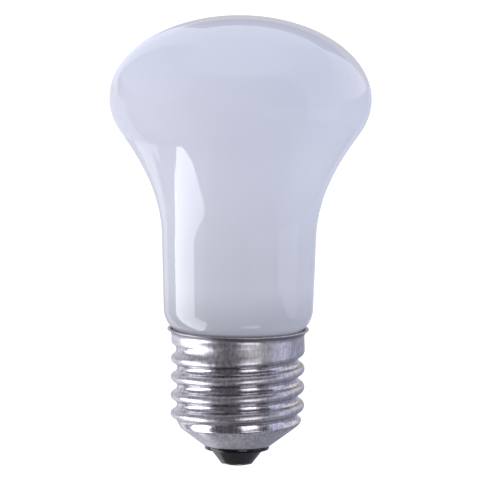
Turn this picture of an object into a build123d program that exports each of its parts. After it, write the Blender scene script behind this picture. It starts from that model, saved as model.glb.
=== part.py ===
"""Opal modelling lamp with a mushroom-shaped glass bulb on an E27 screw cap.

The frame: +Z runs up the lamp's axis, from the centre contact to the top of the dome. The origin
is the lowest point of the centre contact, on the axis. The side solder of the cap faces +Y.

The pieces: the sealed opal bulb with its stem, the rolled screw shell, the black glass insulator
in the shell's end, the contact plate under it with its solder, the cement that holds the bulb in
the shell, the two lead wires, and the solder that joins one of them to the shell's rim.
The bulb is opal and sealed, so it is one solid. Its underside has the open funnel of the stem and
the exhaust tube's tip, which lie outside the seal, in the cap.
"""

import math
import os

from build123d import *

# Bulb, outside, in millimetres. The lamp's height is measured from the centre contact.
lamp_height = 88.0
head_diameter = 51.0
dome_rise = 16.1  # from the widest section up to the top
head_tuck = 6.7  # from the widest section down to where the flare starts
flare_upper_pull = 7.0  # how far the flare keeps the direction of the head
flare_lower_pull = 8.0  # how far it has the direction of the neck
neck_length = 14.1  # of the nearly straight stretch above the shoulder
neck_taper = 0.45  # of the neck's radius, from its top down to its base
neck_overhang = 0.775  # of the neck's base beyond the rim's edge
shoulder_radius = 5.5
shoulder_slope_length = 0.41  # the straight stretch between the shoulder and the seal's blend
rim_gap = 0.3  # between the shoulder and the rim, where the shell's lead passes

# Bulb, inside the cap
seal_blend_radius = 1.2
seal_depth = 11.9  # below the rim
seal_rim_width = 1.9
funnel_depth = 10.0
funnel_top_diameter = 8.4
exhaust_tube_diameter = 4.2
exhaust_tip_drop = 3.0  # below the seal
exhaust_tip_length = 2.6

# Screw shell
sheet_thickness = 0.28
thread_pitch = 3.629
thread_major_diameter = 26.15
thread_depth = 1.225
skirt_recess = 0.1  # of the skirt's wall inside the thread's crests
skirt_length = 1.16  # from the end of the thread up to the rim
rim_flare = 0.85  # of the rim's edge beyond the skirt's wall
rim_flare_height = 1.3
eyelet_diameter = 13.3
eyelet_height = 3.9
cone_half_angle = 53.0  # degrees, from the axis
cone_blend = 1.8  # how softly the cone turns into the wall
first_groove_height = 8.14  # of the groove's centre, half a turn after its start
thread_turns = 4.85
lead_in_turns = 0.5
lead_out_turns = 0.48
sections_per_pitch = 6
sections_in_flare = 4
points_per_section = 32

# Insulator
insulator_clearance = 0.04  # to the shell
insulator_inset = 0.3  # of the bead from the shell's edge
insulator_bead_height = 0.95
insulator_bead_bulge = 0.13
insulator_crease_diameter = 10.5
insulator_crease_depth = 0.1
insulator_tip_diameter = 6.5
insulator_rise = 3.3  # of the plug above the shell's edge
insulator_dish_rise = 0.8  # of the boss in the plug's middle, above the shell's edge
insulator_boss_diameter = 5.2
insulator_bore_diameter = 2.6

# Centre contact and its solder
contact_margin = 0.1  # of the insulator's tip round the contact
contact_thickness = 0.25
contact_corner_radius = 0.12
collar_clearance = 0.05  # to the insulator's bore
collar_wall = 0.2
collar_length = 2.1
solder_margin = 0.35  # of the contact round the solder
solder_height = 0.22
solder_flat_diameter = 3.8
solder_plug_length = 1.4

# Cement
cement_below_rim = 0.6
cement_length = 6.8
cement_clearance = 0.04  # to the bulb and to the shell
lead_slot_width = 0.6

# Leads and the solder on the rim
lead_diameter = 0.25
lead_room = 0.11  # on both sides of the lead between the seal and the thread's roots
lead_offset = 3.15  # of both leads from the axis, where they leave the stem
lead_bend_radius = 2.0
centre_lead_above_plug = 1.1
centre_lead_below_tip = 1.4
shell_lead_below_seal = 1.8
shell_lead_over_rim = 0.05
shell_lead_end_length = 0.5
solder_clearance = 0.02  # to the leads and the bulb
rim_solder_width = 3.4
rim_solder_height = 1.7
rim_solder_depth = 1.5

# Values that follow from those above
head_radius = head_diameter / 2
head_middle = lamp_height - dome_rise
thread_minor_diameter = thread_major_diameter - 2 * thread_depth
skirt_diameter = thread_major_diameter - 2 * skirt_recess
rim_diameter = skirt_diameter + 2 * rim_flare
neck_base_diameter = rim_diameter + 2 * neck_overhang
neck_top_diameter = neck_base_diameter + 2 * neck_taper
crest_radius = thread_major_diameter / 2
root_radius = thread_minor_diameter / 2
# Crests and roots are arcs of one radius that run into each other.
thread_arc = ((thread_pitch / 2) ** 2 + thread_depth**2) / (4 * thread_depth)
groove_start_height = first_groove_height - thread_pitch / 2
thread_end_height = groove_start_height + thread_pitch * (thread_turns + 0.5)
rim_height = thread_end_height + skirt_length
skirt_radius = skirt_diameter / 2
flare_arc = (rim_flare_height**2 + rim_flare**2) / (2 * rim_flare)
flare_base_height = rim_height - rim_flare_height
eyelet_radius = eyelet_diameter / 2
cone_slope = math.tan(math.radians(cone_half_angle))
cone_wall = sheet_thickness * math.hypot(1, cone_slope)  # the sheet, measured along the radius

lead_radius = lead_diameter / 2
seal_radius = root_radius - sheet_thickness - lead_diameter - 2 * lead_room
seal_end_height = rim_height - seal_depth
funnel_top_height = seal_end_height + funnel_depth
exhaust_radius = exhaust_tube_diameter / 2
exhaust_tip_height = seal_end_height - exhaust_tip_drop
shell_lead_radius = seal_radius + lead_room + lead_radius

insulator_tip_height = solder_height + contact_thickness
insulator_top_height = eyelet_height + insulator_rise
collar_radius = insulator_bore_diameter / 2 - collar_clearance
collar_bore = collar_radius - collar_wall


def at(radius, height):
    """A point of the half section, in the plane of X and Z."""
    return Vector(radius, 0, height)


def turned(*edges):
    """A solid of revolution about the lamp's axis, from the closed outline of its half section."""
    return revolve(make_face(Wire(edges)), Axis.Z)


def flared(above_base, inset):
    """How far the shell's rim has flared out at a height above the flare's start."""
    arc = flare_arc + inset
    return arc - math.sqrt(arc**2 - max(0.0, above_base) ** 2)


# The shoulder's round rests over the rim's inner edge, with the gap between them.
rim_edge = at(skirt_radius - sheet_thickness + flared(rim_flare_height, sheet_thickness), rim_height)
shoulder_centre_radius = neck_base_diameter / 2 - shoulder_radius
reach = rim_edge.X - shoulder_centre_radius
shoulder_height = rim_height + math.sqrt(max(0.0, (shoulder_radius + rim_gap) ** 2 - reach**2))
shoulder_centre = at(shoulder_centre_radius, shoulder_height)
neck_top_height = shoulder_height + neck_length


def head_arc(start, end):
    """The part of the head's ellipse between two angles from its widest section, in degrees."""
    middle = math.radians(start + end) / 2
    half = math.radians(end - start) / 2

    def on_ellipse(angle, stretch=1.0):
        across = head_radius * math.cos(angle) * stretch
        return at(across, head_middle + dome_rise * math.sin(angle) * stretch)

    tangents_meet = on_ellipse(middle, 1 / math.cos(half))
    return Bezier(
        on_ellipse(middle - half), tangents_meet, on_ellipse(middle + half), weights=[1, math.cos(half), 1]
    )


def shoulder_edges(gap, end_height):
    """The bulb's shoulder and seal, from the neck down to a height, at a gap outside the glass.

    Two arcs, one round and one hollow, are joined by a straight stretch. The angle that they turn
    through is the one at which they span the step between the neck and the seal.
    """
    step = neck_base_diameter / 2 - seal_radius
    arcs = shoulder_radius + seal_blend_radius
    turn = math.acos((arcs - step) / math.hypot(arcs, shoulder_slope_length))
    turn -= math.atan2(shoulder_slope_length, arcs)
    outer = shoulder_radius + gap
    blend = seal_blend_radius - gap
    wall = seal_radius + gap
    shoulder = [shoulder_centre + at(outer * math.cos(a), -outer * math.sin(a)) for a in (0, turn / 2, turn)]
    slope_end = shoulder[-1] - at(math.sin(turn), math.cos(turn)) * shoulder_slope_length
    blend_centre = at(wall + blend, slope_end.Z - blend * math.sin(turn))
    hollow = [blend_centre - at(blend * math.cos(a), -blend * math.sin(a)) for a in (turn, turn / 2, 0)]
    return [
        ThreePointArc(*shoulder),
        Line(shoulder[-1], slope_end),
        ThreePointArc(*hollow),
        Line(hollow[-1], at(wall, end_height)),
    ]


def glass_bulb():
    """The sealed bulb: domed head, flare, neck, shoulder, then the seal with its funnel and tube."""
    dome = head_arc(0, 90)
    tuck = head_arc(-math.degrees(math.asin(head_tuck / dome_rise)), 0)
    head_end = tuck @ 0
    head_way = tuck % 0
    neck_top = at(neck_top_diameter / 2, neck_top_height)
    neck_base = at(neck_base_diameter / 2, shoulder_height)
    neck_way = (neck_top - neck_base).normalized()
    flare = Bezier(
        head_end,
        head_end - head_way * flare_upper_pull,
        neck_top + neck_way * flare_lower_pull,
        neck_top,
    )
    neck = Line(neck_top, neck_base)

    rim_radius = seal_rim_width / 2
    seal_end = at(seal_radius, seal_end_height + rim_radius)
    mouth = seal_end - at(seal_rim_width, 0)
    shoulder = shoulder_edges(0, seal_end.Z)
    seal_rim = ThreePointArc(seal_end, at(seal_radius - rim_radius, seal_end_height), mouth)

    funnel_top = at(funnel_top_diameter / 2, funnel_top_height)
    funnel_pull = at(0, (funnel_top_height - mouth.Z) / 2)
    funnel = Bezier(mouth, mouth + funnel_pull, funnel_top - funnel_pull, funnel_top)
    tube_top = at(exhaust_radius, funnel_top_height)
    tube_end = at(exhaust_radius, exhaust_tip_height + exhaust_tip_length)
    tip = at(0, exhaust_tip_height)
    ceiling = Line(funnel_top, tube_top)
    tube = Line(tube_top, tube_end)
    roundness = 0.6
    tube_tip = Bezier(
        tube_end,
        tube_end - at(0, exhaust_tip_length * roundness),
        tip + at(exhaust_radius * roundness, 0),
        tip,
    )
    axis = Line(tip, at(0, lamp_height))
    return turned(dome, tuck, flare, neck, *shoulder, seal_rim, funnel, ceiling, tube, tube_tip, axis)


def eased(x):
    """0 up to x = 0, 1 from x = 1, and a smooth S between them."""
    x = min(1.0, max(0.0, x))
    return x * x * (3 - 2 * x)


def thread_radius(off_crest, inset):
    """The rolled thread's radius at an axial distance from a crest, on a surface inset in the sheet."""
    crest_arc = thread_arc - inset
    root_arc = thread_arc + inset
    if off_crest < thread_pitch / 4 * crest_arc / thread_arc:
        return crest_radius - thread_arc + math.sqrt(crest_arc**2 - off_crest**2)
    return root_radius + thread_arc - math.sqrt(root_arc**2 - (thread_pitch / 2 - off_crest) ** 2)


def shell_radius(turn, height, inset):
    """The shell's radius at a share of a turn and a height. Inset 0 is its outside.

    The wall is the smaller of a cone and the threaded cylinder, which run softly into each other,
    and it flares out at the rim. The thread is one groove rolled into the cylinder, which fades in
    over its first turns and out over its last.
    """
    along = (height - groove_start_height) / thread_pitch
    groove_turn = turn + round(along - turn)
    off_groove = abs(along - groove_turn) * thread_pitch
    depth = crest_radius - inset - thread_radius(thread_pitch / 2 - off_groove, inset)
    fade = eased(groove_turn / lead_in_turns) * eased((thread_turns - groove_turn) / lead_out_turns)
    to_skirt = eased(along - thread_turns + 0.5)
    threaded = crest_radius - inset - depth * fade - skirt_recess * to_skirt
    cone = eyelet_radius + cone_slope * (height - eyelet_height) - inset / sheet_thickness * cone_wall
    share = min(1.0, max(0.0, 0.5 + (threaded - cone) / (2 * cone_blend)))
    wall = threaded * (1 - share) + cone * share - cone_blend * share * (1 - share)
    return wall + flared(height - flare_base_height, inset)


def shell_skin(bottom, top, inset):
    """A solid with the shell's outside, or its inside if inset, lofted through level closed curves."""
    wall = flare_base_height - bottom
    wall_steps = math.ceil(wall / thread_pitch * sections_per_pitch)
    arc = flare_arc + inset
    flare_turn = math.asin((top - flare_base_height) / arc)
    heights = [bottom + wall * k / wall_steps for k in range(wall_steps)]
    for k in range(sections_in_flare + 1):
        heights.append(flare_base_height + arc * math.sin(flare_turn * k / sections_in_flare))
    shares = [k / points_per_section for k in range(points_per_section + 1)]
    sections = []
    for height in heights:
        curve = []
        for turn in shares[:-1]:
            radius = shell_radius(turn, height, inset)
            angle = 2 * math.pi * turn
            curve.append((radius * math.cos(angle), radius * math.sin(angle), height))
        sections.append(Wire([Edge.make_spline(curve, periodic=True, parameters=shares)]))
    return Solid.make_loft(sections)


def screw_shell():
    """The pressed and rolled sheet: an even wall with the thread on its outside and its inside."""
    outside = shell_skin(eyelet_height, rim_height, 0)
    inside = shell_skin(eyelet_height - sheet_thickness, rim_height + sheet_thickness, sheet_thickness)
    return outside - inside


def insulator():
    """The black glass in the shell's end: a bead and a cone outside, a dished plug inside, a bore."""
    bore = insulator_bore_diameter / 2
    tip = at(insulator_tip_diameter / 2, insulator_tip_height)
    lean_gap = insulator_clearance * math.hypot(1, cone_slope)
    ledge_height = eyelet_height - insulator_clearance
    ledge = at(eyelet_radius - cone_wall - lean_gap - cone_slope * insulator_clearance, ledge_height)
    shell_inside = [
        shell_radius(k / points_per_section, insulator_top_height, sheet_thickness)
        for k in range(points_per_section)
    ]
    plug_top = at(min(shell_inside) - lean_gap, insulator_top_height)
    bead_top = at(eyelet_radius - insulator_inset, ledge_height)
    bead_end = at(insulator_crease_diameter / 2, eyelet_height - insulator_bead_height)
    outward = at(bead_top.Z - bead_end.Z, bead_end.X - bead_top.X).normalized()
    bead_middle = (bead_top + bead_end) * 0.5 + outward * insulator_bead_bulge
    cone_top = bead_end - at(insulator_crease_depth, 0)
    boss = at(insulator_boss_diameter / 2, eyelet_height + insulator_dish_rise)
    dish_pull = at((plug_top.X - boss.X) / 2, 0)
    return turned(
        Line(at(bore, tip.Z), tip),
        Line(tip, cone_top),
        Line(cone_top, bead_end),
        ThreePointArc(bead_end, bead_middle, bead_top),
        Line(bead_top, ledge),
        Line(ledge, plug_top),
        Bezier(plug_top, plug_top - dish_pull, boss + dish_pull, boss),
        Line(boss, at(bore, boss.Z)),
        Line(at(bore, boss.Z), at(bore, tip.Z)),
    )


def contact_plate():
    """The stamped disc under the insulator, with the drawn collar that stands in its bore."""
    edge = insulator_tip_diameter / 2 - contact_margin
    corner = contact_corner_radius
    corner_centre = at(edge - corner, solder_height + corner)
    collar_top = insulator_tip_height + collar_length
    return turned(
        Line(at(collar_bore, solder_height), corner_centre - at(0, corner)),
        ThreePointArc(
            corner_centre - at(0, corner),
            corner_centre + at(1, -1).normalized() * corner,
            corner_centre + at(corner, 0),
        ),
        Line(corner_centre + at(corner, 0), at(edge, insulator_tip_height)),
        Line(at(edge, insulator_tip_height), at(collar_radius, insulator_tip_height)),
        Line(at(collar_radius, insulator_tip_height), at(collar_radius, collar_top)),
        Line(at(collar_radius, collar_top), at(collar_bore, collar_top)),
        Line(at(collar_bore, collar_top), at(collar_bore, solder_height)),
    )


def contact_solder():
    """The solder: a low dome under the plate, pressed flat, and a plug in the collar round the lead."""
    edge = at(insulator_tip_diameter / 2 - contact_margin - solder_margin, solder_height)
    flat = at(solder_flat_diameter / 2, 0)
    plug_top = solder_height + solder_plug_length
    hole = lead_radius + solder_clearance
    return turned(
        Line(at(0, 0), flat),
        Bezier(flat, at((flat.X + edge.X) / 2, 0), at(edge.X, solder_height / 2), edge),
        Line(edge, at(collar_bore, solder_height)),
        Line(at(collar_bore, solder_height), at(collar_bore, plug_top)),
        Line(at(collar_bore, plug_top), at(hole, plug_top)),
        Line(at(hole, plug_top), at(hole, solder_height)),
        Line(at(hole, solder_height), at(0, solder_height)),
        Line(at(0, solder_height), at(0, 0)),
    )


def bulb_and_gap(gap):
    """A solid of the bulb's shoulder and seal with a gap added, to cut what fits round them."""
    edges = shoulder_edges(gap, seal_end_height)
    top = edges[0] @ 0
    return turned(
        *edges,
        Line(edges[-1] @ 1, at(0, seal_end_height)),
        Line(at(0, seal_end_height), at(0, top.Z)),
        Line(at(0, top.Z), top),
    )


def cement_ring():
    """The cement between bulb and shell, thicker in the skirt, with a slot for the shell's lead."""
    top_height = rim_height - cement_below_rim
    end_height = top_height - cement_length
    in_thread = root_radius - sheet_thickness - cement_clearance
    in_skirt = skirt_radius - sheet_thickness - cement_clearance
    outline = [
        at(in_skirt, top_height),
        at(in_skirt, thread_end_height),
        at(in_thread, thread_end_height),
        at(in_thread, end_height),
        at(seal_radius, end_height),
        at(seal_radius, top_height),
    ]
    ring = turned(*[Line(a, b) for a, b in zip(outline, outline[1:] + outline[:1])])
    slot = Pos(0, skirt_radius, top_height) * Box(lead_slot_width, skirt_radius, 3 * cement_length)
    return ring - bulb_and_gap(cement_clearance) - slot


def wire(points, bends, radius):
    """A lead: straight runs joined by tangent arcs."""
    path = FilletPolyline(*points, radius=bends)
    start = Plane(path @ 0, z_dir=path % 0)
    return sweep(start * Circle(radius), path)


def centre_lead():
    """The lead from the stem to the centre contact, which passes beside the exhaust tube's tip."""
    points = [
        (0, -lead_offset, funnel_top_height),
        (0, -lead_offset, exhaust_tip_height - centre_lead_below_tip),
        (0, 0, insulator_top_height + centre_lead_above_plug),
        (0, 0, solder_height + solder_clearance),
    ]
    return wire(points, [lead_bend_radius, lead_bend_radius], lead_radius)


def shell_lead(radius=lead_radius):
    """The lead from the stem, under the seal's end, up between seal and shell, and over the rim."""
    turn_height = seal_end_height - shell_lead_below_seal
    leave_height = flare_base_height - rim_gap
    towards_edge = (rim_edge - shoulder_centre).normalized()
    in_gap = rim_edge - towards_edge * (rim_gap / 2)
    crossing_height = rim_height + lead_radius + shell_lead_over_rim
    climb = (crossing_height - leave_height) / (in_gap.Z - leave_height)
    crossing = shell_lead_radius + (in_gap.X - shell_lead_radius) * climb
    points = [
        (0, lead_offset, funnel_top_height),
        (0, lead_offset, turn_height),
        (0, shell_lead_radius, turn_height),
        (0, shell_lead_radius, leave_height),
        (0, crossing, crossing_height),
        (0, crossing + shell_lead_end_length, crossing_height),
    ]
    small_bend = lead_bend_radius / 2
    return wire(points, [lead_bend_radius, small_bend, small_bend, lead_diameter], radius)


def rim_solder(shell):
    """The solder drop astride the rim, where the shell's lead ends."""
    drop = scale(Sphere(0.5), by=(rim_solder_width, rim_solder_depth, rim_solder_height))
    drop = Pos(0, rim_diameter / 2, rim_height) * drop
    return drop - shell - bulb_and_gap(solder_clearance) - shell_lead(lead_radius + solder_clearance)


shell = screw_shell()
part = {
    "glass_bulb": glass_bulb(),
    "screw_shell": shell,
    "cap_insulator": insulator(),
    "centre_contact": contact_plate(),
    "contact_solder": contact_solder(),
    "basing_cement": cement_ring(),
    "centre_lead": centre_lead(),
    "shell_lead": shell_lead(),
    "rim_solder": rim_solder(shell),
}

os.makedirs("parts", exist_ok=True)
for node, solid in part.items():
    export_step(solid, f"parts/{node}.step")
    print(node, "volume", round(solid.volume, 2), "mm3")
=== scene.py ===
# %% [markdown]
# # An opal modelling lamp
#
# The lamp is a mushroom-shaped bulb of opal glass on a 27 mm Edison screw cap. Its looks are few and
# plain: glass so smooth that the studio is mirrored in it, thin metal with a rolled thread, and a
# bead of black glass at the bottom. So most of the work is in exact surfaces and in what they mirror.
#
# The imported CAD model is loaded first. Its parts give the places and the sizes, and a new piece
# stands in for a part wherever a smoother surface or finer detail shows.

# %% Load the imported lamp
import math

import bpy
import numpy as np
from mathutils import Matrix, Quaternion, Vector


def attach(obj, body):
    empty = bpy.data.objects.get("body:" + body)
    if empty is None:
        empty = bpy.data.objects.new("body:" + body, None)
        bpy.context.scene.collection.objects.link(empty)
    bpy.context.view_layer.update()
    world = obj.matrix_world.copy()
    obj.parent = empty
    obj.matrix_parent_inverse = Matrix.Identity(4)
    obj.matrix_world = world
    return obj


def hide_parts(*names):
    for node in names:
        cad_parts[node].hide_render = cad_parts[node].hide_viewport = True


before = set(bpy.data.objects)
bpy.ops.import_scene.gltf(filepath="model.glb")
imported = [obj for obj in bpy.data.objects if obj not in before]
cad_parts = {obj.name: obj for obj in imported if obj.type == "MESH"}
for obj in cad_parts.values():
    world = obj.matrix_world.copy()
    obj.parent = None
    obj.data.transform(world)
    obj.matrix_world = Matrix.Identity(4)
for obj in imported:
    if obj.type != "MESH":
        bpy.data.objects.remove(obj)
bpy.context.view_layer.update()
print("parts of the lamp:", ", ".join(sorted(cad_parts)))

# %% [markdown]
# ## Camera
#
# The photograph was taken from slightly above the cap with a long lens, as product pictures are,
# so the lamp hardly gets smaller towards the back. The camera is placed by its distance and angle
# from a point on the lamp's axis. The lamp leans half a degree in the picture, and a roll of the
# camera gives that without turning the lamp.

# %% Place the camera
camera_distance = 1.2
camera_elevation = math.radians(7.3)
camera_roll = math.radians(0.59)
camera_aim = np.array([0.00019, 0.0, 0.04418])
camera_data = bpy.data.cameras.new("camera")
camera_data.sensor_width = 36.0
camera_data.lens = 462.0
camera = bpy.data.objects.new("camera", camera_data)
bpy.context.scene.collection.objects.link(camera)
towards_camera = np.array([0.0, -math.cos(camera_elevation), math.sin(camera_elevation)])
camera.location = camera_aim + towards_camera * camera_distance
camera.rotation_mode = "QUATERNION"
tilt = Quaternion((1.0, 0.0, 0.0), math.pi / 2 - camera_elevation)
camera.rotation_quaternion = tilt @ Quaternion((0.0, 0.0, 1.0), camera_roll)
bpy.context.scene.camera = camera
print("camera at", [round(value, 4) for value in camera.location])

# %% [markdown]
# ## Surfaces from arrays
#
# Blender can make round things with the Spin and Screw tools or with modifiers. Here each surface
# is an array of points instead, rows by columns, worked out by numpy in one step: a row is a ring
# round the axis, and the next row is the next ring along the outline. That makes an exact surface
# whose density is chosen where it is needed, and a thread can be written as a formula.

# %% Turn rings of points into a mesh
millimetre = 0.001


def surface(name, rings, start_tip=None, end_tip=None, joined=False, sharp=40.0):
    """A mesh from rings of points, in millimetres.

    Point (i, j) lies on ring i, at column j. Neighbours are joined by quads, and the last column
    is joined to the first. A tip closes an end with triangles to one point. A joined surface has
    its last ring joined to its first, as on a tube bent into a ring. Rings run down the outside,
    so that the faces point outwards. Edges sharper than the given angle in degrees stay sharp.
    """
    rows, columns = rings.shape[:2]
    points = rings.reshape(-1, 3)
    index = np.arange(rows * columns).reshape(rows, columns)
    if joined:
        index = np.vstack([index, index[:1]])
    here, below = index[:-1], index[1:]
    beside_below, beside = np.roll(below, -1, 1), np.roll(here, -1, 1)
    quads = np.stack([here, below, beside_below, beside], axis=-1).reshape(-1, 4)
    fans = []
    for tip, ring, at_start in ((start_tip, index[0], True), (end_tip, index[-1], False)):
        if tip is None:
            continue
        apex = np.full(columns, len(points))
        points = np.vstack([points, tip])
        following = np.roll(ring, -1)
        fan = [apex, ring, following] if at_start else [ring, apex, following]
        fans.append(np.stack(fan, axis=-1))
    triangles = np.concatenate(fans) if fans else np.zeros((0, 3), int)

    mesh = bpy.data.meshes.new(name)
    mesh.vertices.add(len(points))
    mesh.vertices.foreach_set("co", (points * millimetre).ravel())
    corners = np.concatenate([quads.ravel(), triangles.ravel()])
    quad_starts = np.arange(len(quads)) * 4
    triangle_starts = len(quads) * 4 + np.arange(len(triangles)) * 3
    starts = np.concatenate([quad_starts, triangle_starts])
    mesh.loops.add(len(corners))
    mesh.loops.foreach_set("vertex_index", corners)
    mesh.polygons.add(len(starts))
    mesh.polygons.foreach_set("loop_start", starts)
    mesh.update(calc_edges=True)
    mesh.validate()
    mesh.shade_smooth()
    mesh.set_sharp_from_angle(angle=math.radians(sharp))
    piece = bpy.data.objects.new(name, mesh)
    bpy.context.scene.collection.objects.link(piece)
    print(name, len(points), "points,", 2 * len(quads) + len(triangles), "triangles")
    return piece


# %% [markdown]
# An outline is drawn in the half plane of radius and height, from straight lines, arcs and Bezier
# curves that run into each other. Turning it about the axis gives the surface.

# %% Draw outlines and turn them
def line(start, end, count):
    """Points from start to end, evenly spaced: start (1 - t) + end t."""
    share = np.linspace(0, 1, count)[:, None]
    return np.array(start) * (1 - share) + np.array(end) * share


def arc(centre, radius, start, end, count):
    """Points centre + radius (cos a, sin a) between two angles in degrees, where 0 is outwards."""
    angle = np.radians(np.linspace(start, end, count))
    return np.array(centre) + radius * np.stack([np.cos(angle), np.sin(angle)], axis=-1)


def bezier(a, b, c, d, count):
    """Points on the cubic curve a(1-t)^3 + 3b t(1-t)^2 + 3c t^2(1-t) + d t^3, for t from 0 to 1."""
    t = np.linspace(0, 1, count)[:, None]
    a, b, c, d = map(np.array, (a, b, c, d))
    return a * (1 - t) ** 3 + 3 * b * t * (1 - t) ** 2 + 3 * c * t**2 * (1 - t) + d * t**3


def outline(*runs):
    """The runs one after another, without the doubled points where they meet."""
    points = np.concatenate(runs)
    far = np.linalg.norm(np.diff(points, axis=0), axis=1) > 1e-6
    return points[np.concatenate([[True], far])]


def turned(points, columns):
    """Rings about the axis: (radius, height) becomes (radius cos a, radius sin a, height)."""
    angle = np.linspace(0, 2 * math.pi, columns, endpoint=False)
    radius, height = points[:, :1], points[:, 1:]
    flat = height + 0 * angle
    return np.stack([radius * np.cos(angle), radius * np.sin(angle), flat], axis=-1)


# %% [markdown]
# ## The glass bulb
#
# The real bulb is blown in a mould: a low dome, a tight turn at the widest section, a flare with an
# inflection, and a neck that is a shade narrower at the bottom. It then turns in under the cap's
# rim. Modelling it with Subdivision Surface would look right at first, but the window's reflection
# shows every flaw in the curvature, so the dome is half an ellipse and the flare one Bezier curve
# that leaves the ellipse and meets the neck without a kink.
#
# The head's outline is (a cos t, b sin t), with the head's radius a and the dome's rise b.

# %% Draw the head and the flare
lamp_height = 88.0
head_radius = 25.5
dome_rise = 16.1
head_tuck = 6.7
neck_top = np.array([15.05, 44.996])
neck_base = np.array([14.6, 30.896])
head_pull = 7.0
neck_pull = 8.0

head_middle = lamp_height - dome_rise
tuck_angle = math.asin(head_tuck / dome_rise)
dome_angle = np.linspace(math.pi / 2, 0, 72)[1:]
below_angle = np.linspace(0, -tuck_angle, 16)[1:]
head_angle = np.concatenate([dome_angle, below_angle])
head_height = head_middle + dome_rise * np.sin(head_angle)
head = np.stack([head_radius * np.cos(head_angle), head_height], axis=-1)
head_way = np.array([-head_radius * math.sin(tuck_angle), -dome_rise * math.cos(tuck_angle)])
head_way /= np.linalg.norm(head_way)
neck_way = (neck_top - neck_base) / np.linalg.norm(neck_top - neck_base)
flare = bezier(head[-1], head[-1] + head_way * head_pull, neck_top + neck_way * neck_pull, neck_top, 64)
print("the flare starts", head[-1].round(2)[1], "mm up, at a radius of", head[-1].round(2)[0], "mm")

# %% [markdown]
# The neck ends in a round shoulder. Under the cap's rim the glass goes on as the seal, with the open
# funnel of the stem and the pinched-off tip of the exhaust tube inside it. The cap hides them, and
# they stand here as on the real lamp.

# %% Draw the shoulder and the seal
shoulder_radius = 5.5
shoulder_turn = 58.06
shoulder_slope_length = 0.41
seal_blend_radius = 1.2
seal_radius = 11.1
seal_end_height = 15.0
seal_rim_radius = 0.95

shoulder = arc(neck_base - (shoulder_radius, 0), shoulder_radius, 0, -shoulder_turn, 20)
shoulder_angle = math.radians(shoulder_turn)
slope_way = np.array([math.sin(shoulder_angle), math.cos(shoulder_angle)])
slope_end = shoulder[-1] - slope_way * shoulder_slope_length
blend_height = slope_end[1] - seal_blend_radius * math.sin(shoulder_angle)
blend_centre = np.array([seal_radius + seal_blend_radius, blend_height])
seal_blend = arc(blend_centre, seal_blend_radius, 180 - shoulder_turn, 180, 10)
seal_end = np.array([seal_radius, seal_end_height + seal_rim_radius])
seal_rim = arc(seal_end - (seal_rim_radius, 0), seal_rim_radius, 0, -180, 12)
print("the slope meets the seal's blend within", abs(seal_blend[0] - slope_end).max().round(4), "mm")

# %% Draw the funnel and the exhaust tube
funnel_top = np.array([4.2, 25.0])
exhaust_radius = 2.1
exhaust_tip_height = 12.0
exhaust_tip_length = 2.6
tip_roundness = 0.6

mouth = seal_end - (2 * seal_rim_radius, 0)
funnel_pull = np.array([0, (funnel_top[1] - mouth[1]) / 2])
funnel = bezier(mouth, mouth + funnel_pull, funnel_top - funnel_pull, funnel_top, 16)
tube_top = np.array([exhaust_radius, funnel_top[1]])
tube_end = np.array([exhaust_radius, exhaust_tip_height + exhaust_tip_length])
tip = np.array([0.0, exhaust_tip_height])
tube_pull = np.array([0, tip_roundness * exhaust_tip_length])
tip_pull = np.array([tip_roundness * exhaust_radius, 0])
tube_tip = bezier(tube_end, tube_end - tube_pull, tip + tip_pull, tip, 12)[:-1]
print("the funnel is", round(funnel_top[1] - mouth[1], 2), "mm deep")

# %% Make the bulb
bulb_outline = outline(
    head,
    flare,
    line(neck_top, neck_base, 24),
    shoulder,
    line(shoulder[-1], slope_end, 3),
    seal_blend,
    line(seal_blend[-1], seal_end, 8),
    seal_rim,
    funnel,
    line(funnel_top, tube_top, 3),
    line(tube_top, tube_end, 8),
    tube_tip,
)
bulb_columns = 240
bulb_rings = turned(bulb_outline, bulb_columns)
bulb = surface("opal_bulb", bulb_rings, (0, 0, lamp_height), (0, 0, exhaust_tip_height))

# %% [markdown]
# ## The screw shell
#
# The cap's shell is sheet of 0.28 mm, drawn to a cup and rolled between a wheel and a mandrel, so
# that its thread is one groove that shows on both sides. A modifier such as Screw would give a
# thread with the same section from end to end, but a real one fades in over the cone and out below
# the skirt. So the radius is written as a function of the turn and the height, the same one that
# the CAD part follows: crests and roots are arcs of one radius, the groove's depth is multiplied by
# a smooth fade, the cone and the cylinder meet in a soft minimum, and the rim flares on an arc. The
# rim's cut edge stands upright, and its thin bright line is the first thing seen under the glass.

# %% The shell's radius
sheet = 0.28
thread_pitch = 3.629
crest_radius = 13.075
thread_depth = 1.225
root_radius = crest_radius - thread_depth
thread_arc = ((thread_pitch / 2) ** 2 + thread_depth**2) / (4 * thread_depth)
skirt_recess = 0.1
skirt_radius = crest_radius - skirt_recess
rim_flare = 0.85
rim_flare_height = 1.3
rim_edge = 0.3
eyelet_radius = 6.65
eyelet_height = 3.9
cone_slope = math.tan(math.radians(53.0))
cone_wall = sheet * math.hypot(1, cone_slope)
cone_blend = 1.8
thread_turns = 4.85
lead_in_turns = 0.5
lead_out_turns = 0.48
first_groove_height = 8.14
skirt_length = 1.16
groove_start_height = first_groove_height - thread_pitch / 2
rim_height = groove_start_height + thread_pitch * (thread_turns + 0.5) + skirt_length
flare_base_height = rim_height - rim_flare_height
flare_arc = (rim_flare_height**2 + rim_flare**2) / (2 * rim_flare)
print("crests", 2 * crest_radius, "mm across, roots", round(2 * root_radius, 2), "mm")


def eased(x):
    """3x^2 - 2x^3 between 0 and 1, and level outside them."""
    x = np.clip(x, 0, 1)
    return x * x * (3 - 2 * x)


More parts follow.
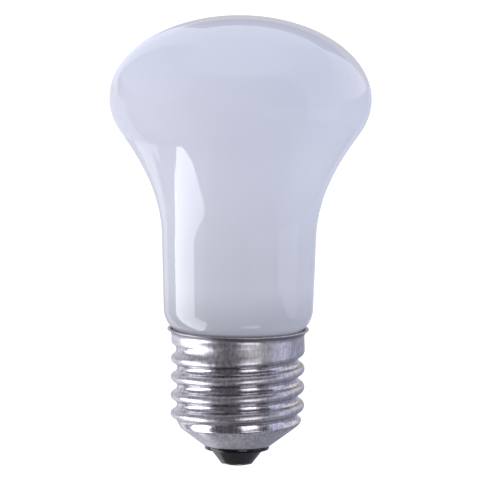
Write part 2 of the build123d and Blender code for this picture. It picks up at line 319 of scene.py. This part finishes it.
def thread_radius(off_crest, inset):
    """Two arcs of one radius r, by the distance d from a crest, for a wall set in by the inset.

    Near a crest it is crest - r + sqrt((r - inset)^2 - d^2). Near a root, half a pitch p further, it
    is root + r - sqrt((r + inset)^2 - (p/2 - d)^2). The two meet where d is p/4 (r - inset)/r.
    """
    crest_arc = thread_arc - inset
    root_arc = thread_arc + inset
    on_crest = off_crest < thread_pitch / 4 * crest_arc / thread_arc
    over = crest_radius - thread_arc + np.sqrt(np.maximum(crest_arc**2 - off_crest**2, 0))
    under = root_radius + thread_arc - np.sqrt(root_arc**2 - (thread_pitch / 2 - off_crest) ** 2)
    return np.where(on_crest, over, under)


def shell_radius(turn, height, inset):
    """The radius at a share of a turn and a height, for the outside (inset 0) or the inside.

    The groove nearest to a point is found by rounding, its depth is faded, and the threaded
    cylinder a is joined to the cone b by the soft minimum a(1-s) + b s - k s(1-s). The rim's flare
    adds r - sqrt(r^2 - h^2) at a height h over its foot. On the outside it is over a little below
    the rim, and from there the cut edge stands upright.
    """
    along = (height - groove_start_height) / thread_pitch
    groove_turn = turn + np.round(along - turn)
    off_groove = np.abs(along - groove_turn) * thread_pitch
    depth = crest_radius - inset - thread_radius(thread_pitch / 2 - off_groove, inset)
    fade = eased(groove_turn / lead_in_turns) * eased((thread_turns - groove_turn) / lead_out_turns)
    to_skirt = eased(along - thread_turns + 0.5)
    threaded = crest_radius - inset - depth * fade - skirt_recess * to_skirt
    cone = eyelet_radius + cone_slope * (height - eyelet_height) - inset / sheet * cone_wall
    share = np.clip(0.5 + (threaded - cone) / (2 * cone_blend), 0, 1)
    wall = threaded * (1 - share) + cone * share - cone_blend * share * (1 - share)
    arc_radius = flare_arc + inset
    edge = np.where(inset == 0, rim_edge, 0)
    above = np.clip(height + edge - flare_base_height, 0, rim_flare_height)
    return wall + arc_radius - np.sqrt(arc_radius**2 - above**2)


# %% Make the shell
shell_columns = 288
lip = sheet / 2
wall_top = rim_height - lip
edge_foot = rim_height - rim_edge
turn_share = np.linspace(0, 1, shell_columns, endpoint=False)


def shell_rings(heights, inset):
    """Level rings of the shell's outside or inside: (r cos a, r sin a, height), r by a and height."""
    height = heights[:, None] + 0 * turn_share
    radius = shell_radius(turn_share + 0 * height, height, inset)
    angle = 2 * math.pi * turn_share
    return np.stack([radius * np.cos(angle), radius * np.sin(angle), height], axis=-1)


edge_heights = np.linspace(wall_top, edge_foot, 4)
wall_heights = np.linspace(edge_foot, eyelet_height, 232)[1:]
outside = shell_rings(np.concatenate([edge_heights, wall_heights]), 0)
inside = shell_rings(np.linspace(eyelet_height, wall_top, 64), sheet)
over_lip = np.linspace(math.pi, 0, 9)[1:-1, None, None]
lip_middle = (outside[:1] + inside[-1:]) / 2
lip_half = (outside[:1] - inside[-1:]) / 2
lip_rings = lip_middle + lip_half * np.cos(over_lip) + (0, 0, lip) * np.sin(over_lip)
all_rings = np.concatenate([outside, inside, lip_rings])
screw_shell = surface("rolled_shell", all_rings, joined=True, sharp=50.0)
print("shell", round(rim_height - eyelet_height, 2), "mm long")

# %% [markdown]
# ## The black glass and the contact
#
# Molten black glass is pressed into the shell's end and holds the contact plate. From outside it is
# a bead, a crease and a cone. Its edges are rounded by the heat, so each corner of the outline gets
# a small round, which catches a thin highlight.

# %% Make the insulator
def rounded(points, radius, count=5):
    """The outline with each corner cut back by the radius and replaced by a parabola.

    For a corner c between the cut-back points s and e it is s(1-t)^2 + 2c t(1-t) + e t^2.
    """
    points = np.array(points, float)
    before, after = np.roll(points, 1, 0), np.roll(points, -1, 0)
    to_before, to_after = before - points, after - points
    length_before = np.linalg.norm(to_before, axis=1)[:, None]
    length_after = np.linalg.norm(to_after, axis=1)[:, None]
    cut = np.minimum(radius, 0.45 * np.minimum(length_before, length_after))
    start = points + to_before / length_before * cut
    end = points + to_after / length_after * cut
    t = np.linspace(0, 1, count)[None, :, None]
    curve = start[:, None] * (1 - t) ** 2 + 2 * points[:, None] * t * (1 - t) + end[:, None] * t**2
    return curve.reshape(-1, 2)


plate_top = 0.47
bore_radius = 1.3
boss_height = 4.7
glass_edge = 0.12
glass_top = bezier((2.6, boss_height), (5.2, boss_height), (6.0, 7.19), (9.0, 7.19), 12)
insulator_corners = np.concatenate([
    glass_top,
    [(10.43, 7.2), (6.03, 3.86), (6.35, 3.86)],
    arc((5.0, 3.6), 1.36, 8, -30, 6)[1:-1],
    [(5.25, 2.95), (5.15, 2.95), (3.25, plate_top)],
    [(bore_radius, plate_top), (bore_radius, boss_height)],
])
insulator_rings = turned(rounded(insulator_corners, glass_edge), 160)
insulator = surface("black_glass_end", insulator_rings, joined=True, sharp=60.0)

# %% Make the contact plate
plate_underside = 0.22
plate_radius = 3.15
plate_edge = 0.1
collar_inside = 1.05
collar_outside = 1.25
collar_top = 2.57
contact_corners = [
    (plate_radius, plate_top),
    (collar_outside, plate_top),
    (collar_outside, collar_top),
    (collar_inside, collar_top),
    (collar_inside, plate_underside),
    (plate_radius, plate_underside),
]
contact_rings = turned(rounded(contact_corners, plate_edge), 128)
contact = surface("contact_disc", contact_rings, joined=True, sharp=60.0)

# %% [markdown]
# The solder under the plate was a drop that was pressed flat while it set, so its edge isn't a true
# circle. The outline is turned as before, and then each point is moved in or out by a few waves
# round the axis, most at the edge and not at all in the flat middle or in the bore.

# %% Make the solder on the contact
tip_radius = 0.3
land_radius = 1.9
drop_radius = 2.8
plug_top = 1.62
lead_hole_radius = 0.145
unevenness = 0.035
drop_columns = 128
drop_foot = np.array([drop_radius, plate_underside])
drop_bulge = ((land_radius + drop_radius) / 2, 0.0), (drop_radius, plate_underside / 2)
solder_outline = outline(
    line((tip_radius, 0.0), (land_radius, 0.0), 8),
    bezier((land_radius, 0.0), *drop_bulge, drop_foot, 10),
    line(drop_foot, (collar_inside, plate_underside), 6),
    line((collar_inside, plate_underside), (collar_inside, plug_top), 4),
    line((collar_inside, plug_top), (lead_hole_radius, plug_top), 3),
    line((lead_hole_radius, plug_top), (lead_hole_radius, plate_underside), 4),
)[::-1]
solder_rings = turned(solder_outline, drop_columns)
around = np.linspace(0, 2 * math.pi, drop_columns, endpoint=False)
waves = 0.5 * np.sin(2 * around + 0.7) + 0.3 * np.sin(3 * around + 2.1) + 0.2 * np.sin(7 * around)
edge_share = eased((solder_outline[:, :1] - land_radius) / (drop_radius - land_radius))
solder_rings[..., :2] *= (1 - unevenness * edge_share * (1 + waves) / 2)[..., None]
solder_tips = (0, 0, plate_underside), (0, 0, 0.0)
contact_solder = surface("contact_solder_drop", solder_rings, *solder_tips, sharp=60.0)

# %% [markdown]
# The drop on the rim joins the second lead to the shell. It set where it was put, so it is a rounded
# lump, a little higher on one side, with a soft foot. A grid of latitude and longitude, flattened
# and pushed out by slow waves, gives such a lump.

# %% Make the solder on the rim
rim_drop_middle = np.array([0.0, skirt_radius + rim_flare, rim_height])
rim_drop_half = np.array([1.7, 0.75, 0.85])
rim_drop_share = 0.95
latitude = np.linspace(0, math.pi, 50)[1:-1][:, None]
longitude = np.linspace(0, 2 * math.pi, 96, endpoint=False)[None, :]
directions = np.stack([
    np.sin(latitude) * np.cos(longitude),
    np.sin(latitude) * np.sin(longitude),
    np.cos(latitude) + 0 * longitude,
], axis=-1)
across, up = directions[..., :1], directions[..., 2:]
swell = 0.03 * np.sin(3 * across + 1.0) + 0.03 * np.sin(4 * up * across)
rim_drop_rings = rim_drop_middle + directions * rim_drop_half * (rim_drop_share + swell)
rim_drop_tip = np.array([0, 0, rim_drop_share * rim_drop_half[2]])
rim_drop = surface(
    "rim_solder_drop",
    rim_drop_rings,
    rim_drop_middle + rim_drop_tip,
    rim_drop_middle - rim_drop_tip,
)

# %% [markdown]
# ## Finishes
#
# Every finish is a small graph of nodes round one Principled shader. Its patterns read Object
# coordinates, which are metres on the lamp itself, so a scale of 1000 makes grains of about a
# millimetre. What is the same all over a surface is set on the shader's own socket.

# %% Helpers for the finishes
def range_node(tree, value, span, levels, smooth=True):
    """A number that goes from the first level to the second while the value crosses the span."""
    ranged = tree.nodes.new("ShaderNodeMapRange")
    ranged.interpolation_type = "SMOOTHSTEP" if smooth else "LINEAR"
    for name, number in zip(("From Min", "From Max", "To Min", "To Max"), (*span, *levels)):
        ranged.inputs[name].default_value = number
    tree.links.new(value, ranged.inputs["Value"])
    return ranged.outputs["Result"]


def mix_node(tree, factor, low, high):
    """A colour between two, where each is a colour or another node's output.

    The Mix node has its factor in socket 0, its colours in 6 and 7, and the mixed one in output 2.
    """
    mix = tree.nodes.new("ShaderNodeMix")
    mix.data_type = "RGBA"
    tree.links.new(factor, mix.inputs[0])
    for socket, value in ((mix.inputs[6], low), (mix.inputs[7], high)):
        if isinstance(value, tuple):
            socket.default_value = (*value, 1)
        else:
            tree.links.new(value, socket)
    return mix.outputs[2]


class Finish:
    """A material with one Principled shader, and short ways to add the nodes that lead to it."""

    def __init__(self, name, **sockets):
        self.material = bpy.data.materials.new(name)
        self.material.use_nodes = True
        self.tree = self.material.node_tree
        self.shader = self.tree.nodes["Principled BSDF"]
        for socket, value in sockets.items():
            self.shader.inputs[socket.replace("_", " ")].default_value = value
        self.place = self.node("ShaderNodeTexCoord").outputs["Object"]
        print("finish", name)

    def node(self, kind, **settings):
        """A new node with these settings."""
        made = self.tree.nodes.new(kind)
        for name, value in settings.items():
            setattr(made, name, value)
        return made

    def link(self, value, socket):
        """A wire from an output to a socket."""
        self.tree.links.new(value, socket)

    def set(self, socket, value):
        """A wire from an output to a socket of the shader."""
        self.link(value, self.shader.inputs[socket])

    def grain(self, size, stretch=(1, 1, 1), detail=3.0):
        """Noise with grains of that size in metres, longer along an axis with a smaller stretch."""
        mapping = self.node("ShaderNodeMapping")
        mapping.inputs["Scale"].default_value = stretch
        self.link(self.place, mapping.inputs["Vector"])
        noise = self.node("ShaderNodeTexNoise")
        noise.inputs["Scale"].default_value = 1 / size
        noise.inputs["Detail"].default_value = detail
        self.link(mapping.outputs["Vector"], noise.inputs["Vector"])
        return noise.outputs["Fac"]

    def spread(self, value, low, high, start=0.3, end=0.7):
        """The value, from start to end, as a number from low to high, smoothly."""
        return range_node(self.tree, value, (start, end), (low, high))

    def tint(self, value, low, high):
        """A colour between two, by the value."""
        return mix_node(self.tree, value, low, high)

    def ramp(self, value, stops):
        """A colour by the value, through (value, colour) stops from low to high."""
        low, high = stops[0][0], stops[-1][0]
        share = range_node(self.tree, value, (low, high), (0, 1), smooth=False)
        ramp = self.node("ShaderNodeValToRGB")
        ramp.color_ramp.interpolation = "EASE"
        for _ in stops[2:]:
            ramp.color_ramp.elements.new(0.5)
        for element, (at, colour) in zip(ramp.color_ramp.elements, stops):
            element.position = (at - low) / (high - low)
            element.color = (*colour, 1)
        self.link(share, ramp.inputs["Fac"])
        return ramp.outputs["Color"]

    def bump(self, value, depth, strength, under=None):
        """Small heights on the surface, in metres."""
        bump = self.node("ShaderNodeBump")
        bump.inputs["Strength"].default_value = strength
        bump.inputs["Distance"].default_value = depth
        self.link(value, bump.inputs["Height"])
        if under is not None:
            self.link(under, bump.inputs["Normal"])
        return bump.outputs["Normal"]

    def join(self, operation, first, second):
        """Two numbers put together, by ADD, MULTIPLY or MAXIMUM."""
        joined = self.node("ShaderNodeMath", operation=operation)
        self.link(first, joined.inputs[0])
        self.link(second, joined.inputs[1])
        return joined.outputs["Value"]

    def radius(self):
        """Distance from the lamp's axis, in metres: the length of (x, y, 0)."""
        flat = self.node("ShaderNodeVectorMath", operation="MULTIPLY")
        flat.inputs[1].default_value = (1, 1, 0)
        self.link(self.place, flat.inputs[0])
        length = self.node("ShaderNodeVectorMath", operation="LENGTH")
        self.link(flat.outputs["Vector"], length.inputs[0])
        return length.outputs["Value"]

    def height(self):
        """Height on the lamp, in metres."""
        apart = self.node("ShaderNodeSeparateXYZ")
        self.link(self.place, apart.inputs["Vector"])
        return apart.outputs["Z"]


# %% [markdown]
# Opal glass is white inside and clear on top, which gives it two looks at once: an even, matt body
# colour and a hard mirror. Principled does both: a pale diffuse base and a smooth dielectric coat of
# glass. The colour is a cool lavender white in the head and greyer down the neck, where the stem
# stands behind the glass; that grey, darkest just above the cap's rim, is also painted shade. The
# foot of the shoulder, at the rim itself, is a pale band of painted light, for light the rim's shade
# takes away. A slow, very flat bump bends the mirrored window as blown glass does.

# %% Opal glass
opal = Finish("opal_glass", Roughness=0.045, IOR=1.5)
# Base colour by height: the grey neck is partly painted shade, and the first, pale stop is a painted
# light at the shoulder's foot.
opal_tones_and_painted_light = [
    (0.0268, (0.9, 0.91, 0.95)),
    (0.0277, (0.415, 0.427, 0.472)),
    (0.037, (0.545, 0.562, 0.612)),
    (0.062, (0.64, 0.66, 0.735)),
    (0.073, (0.615, 0.633, 0.717)),
    (0.088, (0.61, 0.63, 0.738)),
]
opal.set("Base Color", opal.ramp(opal.height(), opal_tones_and_painted_light))
opal.set("Normal", opal.bump(opal.grain(0.022, detail=1.0), 0.0002, 0.25))
bulb.data.materials.append(opal.material)

# %% [markdown]
# The shell is soft aluminium with the marks of its making: a fine mottle from the rolled sheet, and
# streaks up the wall from drawing it through a die. Bare metal has one colour, but what the marks
# hold is darker, so the colour follows them in short streaks. A dark line under the flared rim is
# painted shade, for the shadow in the fold below the flare. The rolling wheel leaves the groove
# bright, and the crests, the skirt and the cone stay duller, so the roughness also follows the
# radius and the height.

# %% Colour of the cap metal
cap_metal = Finish("cap_metal", Metallic=1.0)
cap_height = cap_metal.height()
mottle = cap_metal.grain(0.0008)
drawn = cap_metal.grain(0.0004, stretch=(1, 1, 0.18))
streaked = cap_metal.join("MULTIPLY", mottle, drawn)
# A band of painted shade under the flared rim: between these two heights the colour is darkened.
painted_shade_line_foot = (0.0257, 0.0262)
painted_shade_line_top = (0.0266, 0.0268)
below_line = cap_metal.spread(cap_height, 1, 0.15, *painted_shade_line_foot)
above_line = cap_metal.spread(cap_height, 0.15, 1, *painted_shade_line_top)
off_painted_shade_line = cap_metal.join("MAXIMUM", below_line, above_line)
between_streaks = cap_metal.spread(streaked, 0.53, 1, 0.15, 0.35)
unstreaked_and_unshaded = cap_metal.join("MULTIPLY", between_streaks, off_painted_shade_line)
cap_metal.set("Base Color", cap_metal.tint(unstreaked_and_unshaded, (0.2, 0.19, 0.22), (0.56, 0.55, 0.59)))

# %% Roughness and bump of the cap metal
crest_flank = (0.01215, 0.0127)
cone_top = (0.0058, 0.007)
on_crest = cap_metal.spread(cap_metal.radius(), 0, 1, *crest_flank)
on_cone = cap_metal.spread(cap_height, 1, 0, *cone_top)
rubbed = cap_metal.join("MAXIMUM", on_crest, on_cone)
rolled_smooth = cap_metal.spread(mottle, 0.17, 0.21)
rubbed_more = cap_metal.join("MULTIPLY", rubbed, cap_metal.spread(drawn, 0.11, 0.19))
cap_metal.set("Roughness", cap_metal.join("ADD", rolled_smooth, rubbed_more))
drawn_bump = cap_metal.bump(drawn, 0.000006, 0.3)
cap_metal.set("Normal", cap_metal.bump(mottle, 0.000008, 0.3, under=drawn_bump))
screw_shell.data.materials.append(cap_metal.material)

# %% [markdown]
# The black glass is nearly black all through, with a slightly uneven skin from the mould. The picture
# shows it darker than plain window glass would look, so its refractive index is a little lower.

# %% Black glass
black_glass = Finish("black_glass", IOR=1.4)
black_grain = black_glass.grain(0.0012)
black_tone = black_glass.tint(black_grain, (0.0015, 0.0015, 0.003), (0.005, 0.005, 0.008))
black_glass.set("Base Color", black_tone)
black_glass.set("Roughness", black_glass.spread(black_grain, 0.08, 0.2))
black_glass.set("Normal", black_glass.bump(black_grain, 0.00006, 0.3))
insulator.data.materials.append(black_glass.material)

# %% [markdown]
# The contact plate is stained by the heat, and the solder is frosted where it set. Both colours are
# kept dark as painted shade, for the shadow they lie in under the lamp. Cement and wires are hidden
# in the cap. They keep the CAD model's meshes, which are fine enough, and get a finish.

# %% Contact plate
contact_metal = Finish("contact_plate", Metallic=1.0)
contact_stain = contact_metal.grain(0.0009)
# The stain varies the tone; the dark level of the plate's colour is painted shade.
contact_stain_and_painted_shade = contact_metal.tint(contact_stain, (0.2, 0.17, 0.12), (0.34, 0.29, 0.2))
contact_metal.set("Base Color", contact_stain_and_painted_shade)
contact_metal.set("Roughness", contact_metal.spread(contact_stain, 0.3, 0.5))
contact.data.materials.append(contact_metal.material)

# %% Solder
solder = Finish("solder", Metallic=1.0)
solder_frost = solder.grain(0.0005)
# The solder's dark grey is painted shade, for the shadow under the lamp; the frost only varies it.
solder.set("Base Color", solder.tint(solder_frost, (0.2, 0.2, 0.22), (0.36, 0.36, 0.39)))
solder.set("Roughness", solder.spread(solder_frost, 0.25, 0.5))
solder.set("Normal", solder.bump(solder_frost, 0.00005, 0.5))
contact_solder.data.materials.append(solder.material)
rim_drop.data.materials.append(solder.material)

# %% Cement and lead wires
cement = Finish("cement", Roughness=0.9)
cement_crumb = cement.grain(0.0004, detail=6.0)
cement.set("Base Color", cement.tint(cement_crumb, (0.62, 0.56, 0.46), (0.82, 0.77, 0.68)))
cement.set("Normal", cement.bump(cement_crumb, 0.0001, 0.7))

lead_wire = Finish("lead_wire", Metallic=1.0)
wire_draw = lead_wire.grain(0.0002)
lead_wire.set("Base Color", lead_wire.tint(wire_draw, (0.5, 0.48, 0.46), (0.62, 0.6, 0.57)))
lead_wire.set("Roughness", lead_wire.spread(wire_draw, 0.25, 0.4))
for node, finish in (("basing_cement", cement), ("centre_lead", lead_wire), ("shell_lead", lead_wire)):
    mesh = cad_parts[node].data
    mesh.materials.clear()
    mesh.materials.append(finish.material)

# %% [markdown]
# ## Stage
#
# The lamp is made to be held by its cap, so it keeps its own frame and hangs above a pale floor.
# The camera sees white all round, and so does a reflection where no card stands in its way. The light
# that falls on the lamp comes from a plain room instead: pale behind, darker in front, where the
# camera stands, and brighter above. One environment does both, by the kind of ray and its direction.

# %% Floor
def seen_directly(tree):
    """1 for rays from the camera and for those that a mirror or clear glass has turned, else 0."""
    rays = tree.nodes.new("ShaderNodeLightPath").outputs
    total = rays["Is Camera Ray"]
    for name in ("Is Glossy Ray", "Is Transmission Ray"):
        add = tree.nodes.new("ShaderNodeMath")
        add.use_clamp = True
        tree.links.new(total, add.inputs[0])
        tree.links.new(rays[name], add.inputs[1])
        total = add.outputs["Value"]
    return total


floor_height = -0.6
floor_half = 8.0
floor_glow = 0.6
square = [(-1, -1), (1, -1), (1, 1), (-1, 1)]
floor_corners = [(x * floor_half, y * floor_half, floor_height) for x, y in square]
floor_mesh = bpy.data.meshes.new("floor")
floor_mesh.from_pydata(floor_corners, [], [(0, 1, 2, 3)])
floor = bpy.data.objects.new("floor", floor_mesh)
bpy.context.scene.collection.objects.link(floor)
floor_finish = Finish("floor", Roughness=0.9)
floor_finish.shader.inputs["Base Color"].default_value = (0.8, 0.8, 0.82, 1)
floor_finish.shader.inputs["Emission Color"].default_value = (1, 1, 1, 1)
lift = floor_finish.node("ShaderNodeMath", operation="MULTIPLY")
floor_finish.link(seen_directly(floor_finish.tree), lift.inputs[0])
lift.inputs[1].default_value = floor_glow
floor_finish.set("Emission Strength", lift.outputs["Value"])
floor.data.materials.append(floor_finish.material)
print("floor", 2 * floor_half, "m wide,", -floor_height, "m below the contact")

# %% World
camera_side = (0.2, 0.19, 0.2)
far_side = (0.64, 0.64, 0.69)
ceiling = (0.81, 0.84, 0.93)
front_to_back = (-0.75, -0.2)
wall_to_ceiling = (0.35, 0.8)
world = bpy.data.worlds.new("studio")
bpy.context.scene.world = world
world.use_nodes = True
room_tree = world.node_tree
way = room_tree.nodes.new("ShaderNodeSeparateXYZ")
direction = room_tree.nodes.new("ShaderNodeTexCoord").outputs["Generated"]
room_tree.links.new(direction, way.inputs["Vector"])
backwards = range_node(room_tree, way.outputs["Y"], front_to_back, (0, 1))
upwards = range_node(room_tree, way.outputs["Z"], wall_to_ceiling, (0, 1))
walls = mix_node(room_tree, backwards, camera_side, far_side)
room = mix_node(room_tree, upwards, walls, ceiling)
shown = mix_node(room_tree, seen_directly(room_tree), room, (1.0, 1.0, 1.0))
room_tree.links.new(shown, room_tree.nodes["Background"].inputs["Color"])
print("world", world.name, "with", len(room_tree.nodes), "nodes")

# %% [markdown]
# What the glass and the metal mirror is drawn as cards, as a photographer sets them up: boards, some
# pale and some dark, and a bright window. Only reflections see them. A board is a patch of a sphere
# round the lamp, with its corners as azimuth and elevation from the lamp, because those can be read
# off a reflection: 0 is the camera's side and positive is to the right.

# %% Helpers for the cards
studio_middle = np.array([0.0, 0.0, 0.045])
card_reach = 0.55


def towards(azimuth, elevation):
    """Unit vectors (cos e sin a, -cos e cos a, sin e) by azimuth a and elevation e, in degrees."""
    azimuth, elevation = np.radians(azimuth), np.radians(elevation)
    level = np.cos(elevation)
    return np.stack([level * np.sin(azimuth), -level * np.cos(azimuth), np.sin(elevation)], axis=-1)


def card(name, points, faces, colour):
    """A glowing sheet that only reflections see, and the node that makes it glow."""
    mesh = bpy.data.meshes.new(name)
    mesh.from_pydata(points.tolist(), [], faces.tolist())
    made = bpy.data.objects.new(name, mesh)
    bpy.context.scene.collection.objects.link(made)
    material = bpy.data.materials.new(name)
    material.use_nodes = True
    glow = material.node_tree.nodes.new("ShaderNodeEmission")
    glow.inputs["Color"].default_value = (*colour, 1)
    glow.inputs["Strength"].default_value = 1.0
    output = material.node_tree.nodes["Material Output"]
    material.node_tree.links.new(glow.outputs["Emission"], output.inputs["Surface"])
    mesh.materials.append(material)
    made.visible_camera = False
    made.visible_diffuse = False
    made.visible_transmission = False
    made.visible_shadow = False
    return glow


def grid_card(name, points, colour):
    """A card through rows by columns of points."""
    rows, columns = points.shape[:2]
    index = np.arange(rows * columns).reshape(rows, columns)
    corners = [index[:-1, :-1], index[:-1, 1:], index[1:, 1:], index[1:, :-1]]
    card(name, points.reshape(-1, 3), np.stack(corners, axis=-1).reshape(-1, 4), colour)


def board(name, azimuths, elevations, colour, reach=card_reach, upper=None):
    """A patch of the sphere, with two azimuths at its lower edge and, if given, two at its upper.

    With shares u along the azimuths and v up the elevations, the azimuth is that at u on the lower
    edge times (1 - v), plus that on the upper edge times v.
    """
    low, high = azimuths, upper or azimuths
    u, v = np.meshgrid(np.linspace(0, 1, 25), np.linspace(0, 1, 25))
    azimuth = (low[0] * (1 - u) + low[1] * u) * (1 - v) + (high[0] * (1 - u) + high[1] * u) * v
    elevation = elevations[0] * (1 - v) + elevations[1] * v
    grid_card(name, studio_middle + reach * towards(azimuth, elevation), colour)


def ruled_board(name, first, last, colour):
    """A sheet of straight lines between two rows of points: first (1 - v) + last v."""
    v = np.linspace(0, 1, 9)[:, None, None]
    grid_card(name, first * (1 - v) + last * v, colour)


def round_lamp(radius, height, azimuths):
    """A level row of points round the lamp's axis: (radius sin a, -radius cos a, height)."""
    azimuth = np.radians(np.linspace(*azimuths, 25))
    return np.stack([radius * np.sin(azimuth), -radius * np.cos(azimuth), height + 0 * azimuth], axis=-1)


# %% [markdown]
# The room in front is dark, because the camera stands in it. The walls beside it are pale, in strips
# that differ a little, as seen in the cap from crest to crest. Below is a white table in the shade.

# %% Boards round the lamp
front_dark = (0.155, 0.135, 0.15)
table_reach = 0.57
front_window_reach = 0.54
board("dark_room", (-53, 60), (-70, 62), front_dark)
board("right_panel", (60, 98), (-2, 38), (0.86, 0.9, 1.15))
board("right_panel_middle", (60, 98), (-20, -2), (1.0, 1.03, 1.24))
board("right_panel_low", (60, 98), (-62, -20), (0.42, 0.42, 0.48))
board("right_wall_middle", (98, 150), (-20, 5), (0.5, 0.52, 0.66))
board("right_wall_low", (98, 180), (-62, -20), (0.38, 0.39, 0.46))
board("right_wall", (98, 150), (5, 38), (1.1, 1.06, 1.08))
board("right_wall_high", (60, 150), (38, 62), (0.8, 0.81, 0.92))
board("back_right_low", (150, 180), (-20, 3), (0.62, 0.64, 0.8))
board("back_wall", (150, 188), (3, 22), (0.62, 0.58, 0.52))
board("back_wall_high", (150, 190), (22, 36), (0.32, 0.29, 0.26))
board("back_left", (-180, -150), (-45, 3), (0.72, 0.72, 0.8))
board("left_glow", (-172, -151), (3, 28), (1.0, 1.05, 1.28), upper=(-172, -164))
board("left_wall_high", (-150, -53), (13, 60), (0.66, 0.68, 0.8))
board("left_wall_middle", (-130, -53), (0, 13), (0.42, 0.42, 0.46), upper=(-150, -53))
board("left_wall", (-132, -53), (-22, 0), (0.75, 0.76, 0.82), upper=(-135, -53))
board("left_wall_lower", (-130, -53), (-36, -22), (0.5, 0.5, 0.55), upper=(-132, -53))
board("left_wall_low", (-122, -53), (-62, -36), (0.5, 0.5, 0.55))
board("table", (62, 305), (-89, -52), (0.46, 0.45, 0.49), table_reach)
board("table_front", (-55, 62), (-89, -52), front_dark, table_reach)
board("front_right_window", (20, 56), (-20, 6), (0.55, 0.54, 0.53), front_window_reach)

# %% [markdown]
# The window is the one bright card, left of the camera and below the head, where the flare mirrors
# it as a long curved shape. Its corners were read off that shape, and it is brightest at the back.

# %% Window
window_reach = 0.53
window_depths = (-0.35, 0.02)
window_strengths = (3.0, 5.3)
window_corners = np.array([
    (-112, -5), (-111, -10), (-105, -35), (-104, -40), (-101, -47), (-101, -56),
    (-88, -57), (-78, -55.5), (-71, -51.5), (-64, -46.5), (-58, -41), (-53, -33),
    (-56, -28), (-63, -21), (-70, -13), (-71, -5),
])
window_rim = studio_middle + window_reach * towards(*window_corners.T)
window_points = np.vstack([window_rim, window_rim.mean(axis=0)])
corner = np.arange(len(window_rim))
window_faces = np.stack([corner, np.roll(corner, -1), np.full(len(corner), len(corner))], axis=-1)
window_glow = card("window", window_points, window_faces, (1, 1, 1.04))
window_tree = window_glow.id_data
window_place = window_tree.nodes.new("ShaderNodeTexCoord")
window_apart = window_tree.nodes.new("ShaderNodeSeparateXYZ")
window_tree.links.new(window_place.outputs["Object"], window_apart.inputs["Vector"])
window_level = range_node(
    window_tree, window_apart.outputs["Y"], window_depths, window_strengths, smooth=False
)
window_tree.links.new(window_level, window_glow.inputs["Strength"])
print("window with", len(window_rim), "corners")

# %% [markdown]
# The head curves in above the flare, and would mirror the window a second time. A level board
# beside the lamp, at the height where the glass leans most, stands between the two. It is dark in
# front of the window and pale further back.

# %% Level board beside the head
lean_height = 0.0644
lean_radius = 0.02275
board_back = (0.0, 0.4, lean_height)
board_middle = (-0.364, 0.184, lean_height)
board_front = (-0.247, -0.247, lean_height)
ruled_board(
    "level_board",
    round_lamp(lean_radius, lean_height, (-50, -14)),
    line(board_middle, board_front, 25),
    (0.42, 0.42, 0.46),
)
ruled_board(
    "level_board_pale",
    round_lamp(lean_radius, lean_height, (-150, -50)),
    line(board_back, board_middle, 25),
    (0.9, 0.9, 0.97),
)

# %% [markdown]
# The cap has a second bright stripe that the glass doesn't show. It comes from two small cards close
# to the cap, a dimmer one above a bright one. A dark flag over them hides them from the glass, and a
# narrow card under the flag gives the rim its thin bright line.

# %% Flag and cards at the cap
flag_height = 0.0285
flag_inner = 0.0152
flag_reach = 0.045
flag_azimuths = (-10, 60)
rim_card_height = 0.0284
rim_card_inner = 0.0153
rim_card_reach = 0.0175
card_azimuths = (7, 34)
card_middle = 0.0145
card_low = -0.012
ruled_board(
    "cap_flag",
    round_lamp(flag_inner, flag_height, flag_azimuths),
    round_lamp(flag_reach, flag_height, flag_azimuths),
    front_dark,
)
ruled_board(
    "lip_card",
    round_lamp(rim_card_inner, rim_card_height, flag_azimuths),
    round_lamp(rim_card_reach, rim_card_height, flag_azimuths),
    (1.5, 1.47, 1.5),
)
for name, top, bottom, colour in (
    ("cap_card_high", flag_height, card_middle, (0.85, 0.82, 0.82)),
    ("cap_card_low", card_middle, card_low, (2.5, 2.45, 2.6)),
):
    upper_row = round_lamp(flag_reach, top, card_azimuths)
    lower_row = round_lamp(flag_reach, bottom, card_azimuths)
    ruled_board(name, upper_row, lower_row, colour)
print("the cap's cards reach from", card_low, "to", flag_height, "m")

# %% [markdown]
# The level of the opal glass comes from soft lamps that reflections don't see: a large one on each
# side, the left one stronger, and a faint one below for the light that a white table throws back.

# %% Soft lamps
def lamp(name, azimuth, elevation, reach, size, power, colour=(1, 1, 1)):
    """A soft square area light that faces the lamp and isn't mirrored in it."""
    data = bpy.data.lights.new(name, "AREA")
    data.size = size
    data.energy = power
    data.color = colour
    light = bpy.data.objects.new(name, data)
    bpy.context.scene.collection.objects.link(light)
    way = Vector(towards(azimuth, elevation))
    light.location = way * reach + Vector(studio_middle)
    light.rotation_mode = "QUATERNION"
    light.rotation_quaternion = way.to_track_quat("Z", "Y")
    light.visible_glossy = False
    print("lamp", name, power, "W")


lamp("key", -60, 22, 1.2, 0.8, 7.1)
lamp("fill", 70, 12, 1.2, 0.8, 5.4, (0.95, 0.97, 1.1))
lamp("table_glow", -10, -45, 0.7, 0.5, 0.8)

# %% [markdown]
# ## Hand over
#
# Each new piece stands in for its CAD part, which is hidden, and moves with the body root. Its material
# was added with its finish above.

# %% Finish
for piece, node, slot in (
    (bulb, "glass_bulb", "opal_glass"),
    (screw_shell, "screw_shell", "cap_metal"),
    (insulator, "cap_insulator", "black_glass"),
    (contact, "centre_contact", "contact_plate"),
    (contact_solder, "contact_solder", "solder"),
    (rim_drop, "rim_solder", "solder"),
):
    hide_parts(node)
    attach(piece, "root")
bpy.context.scene.view_settings.view_transform = "Standard"
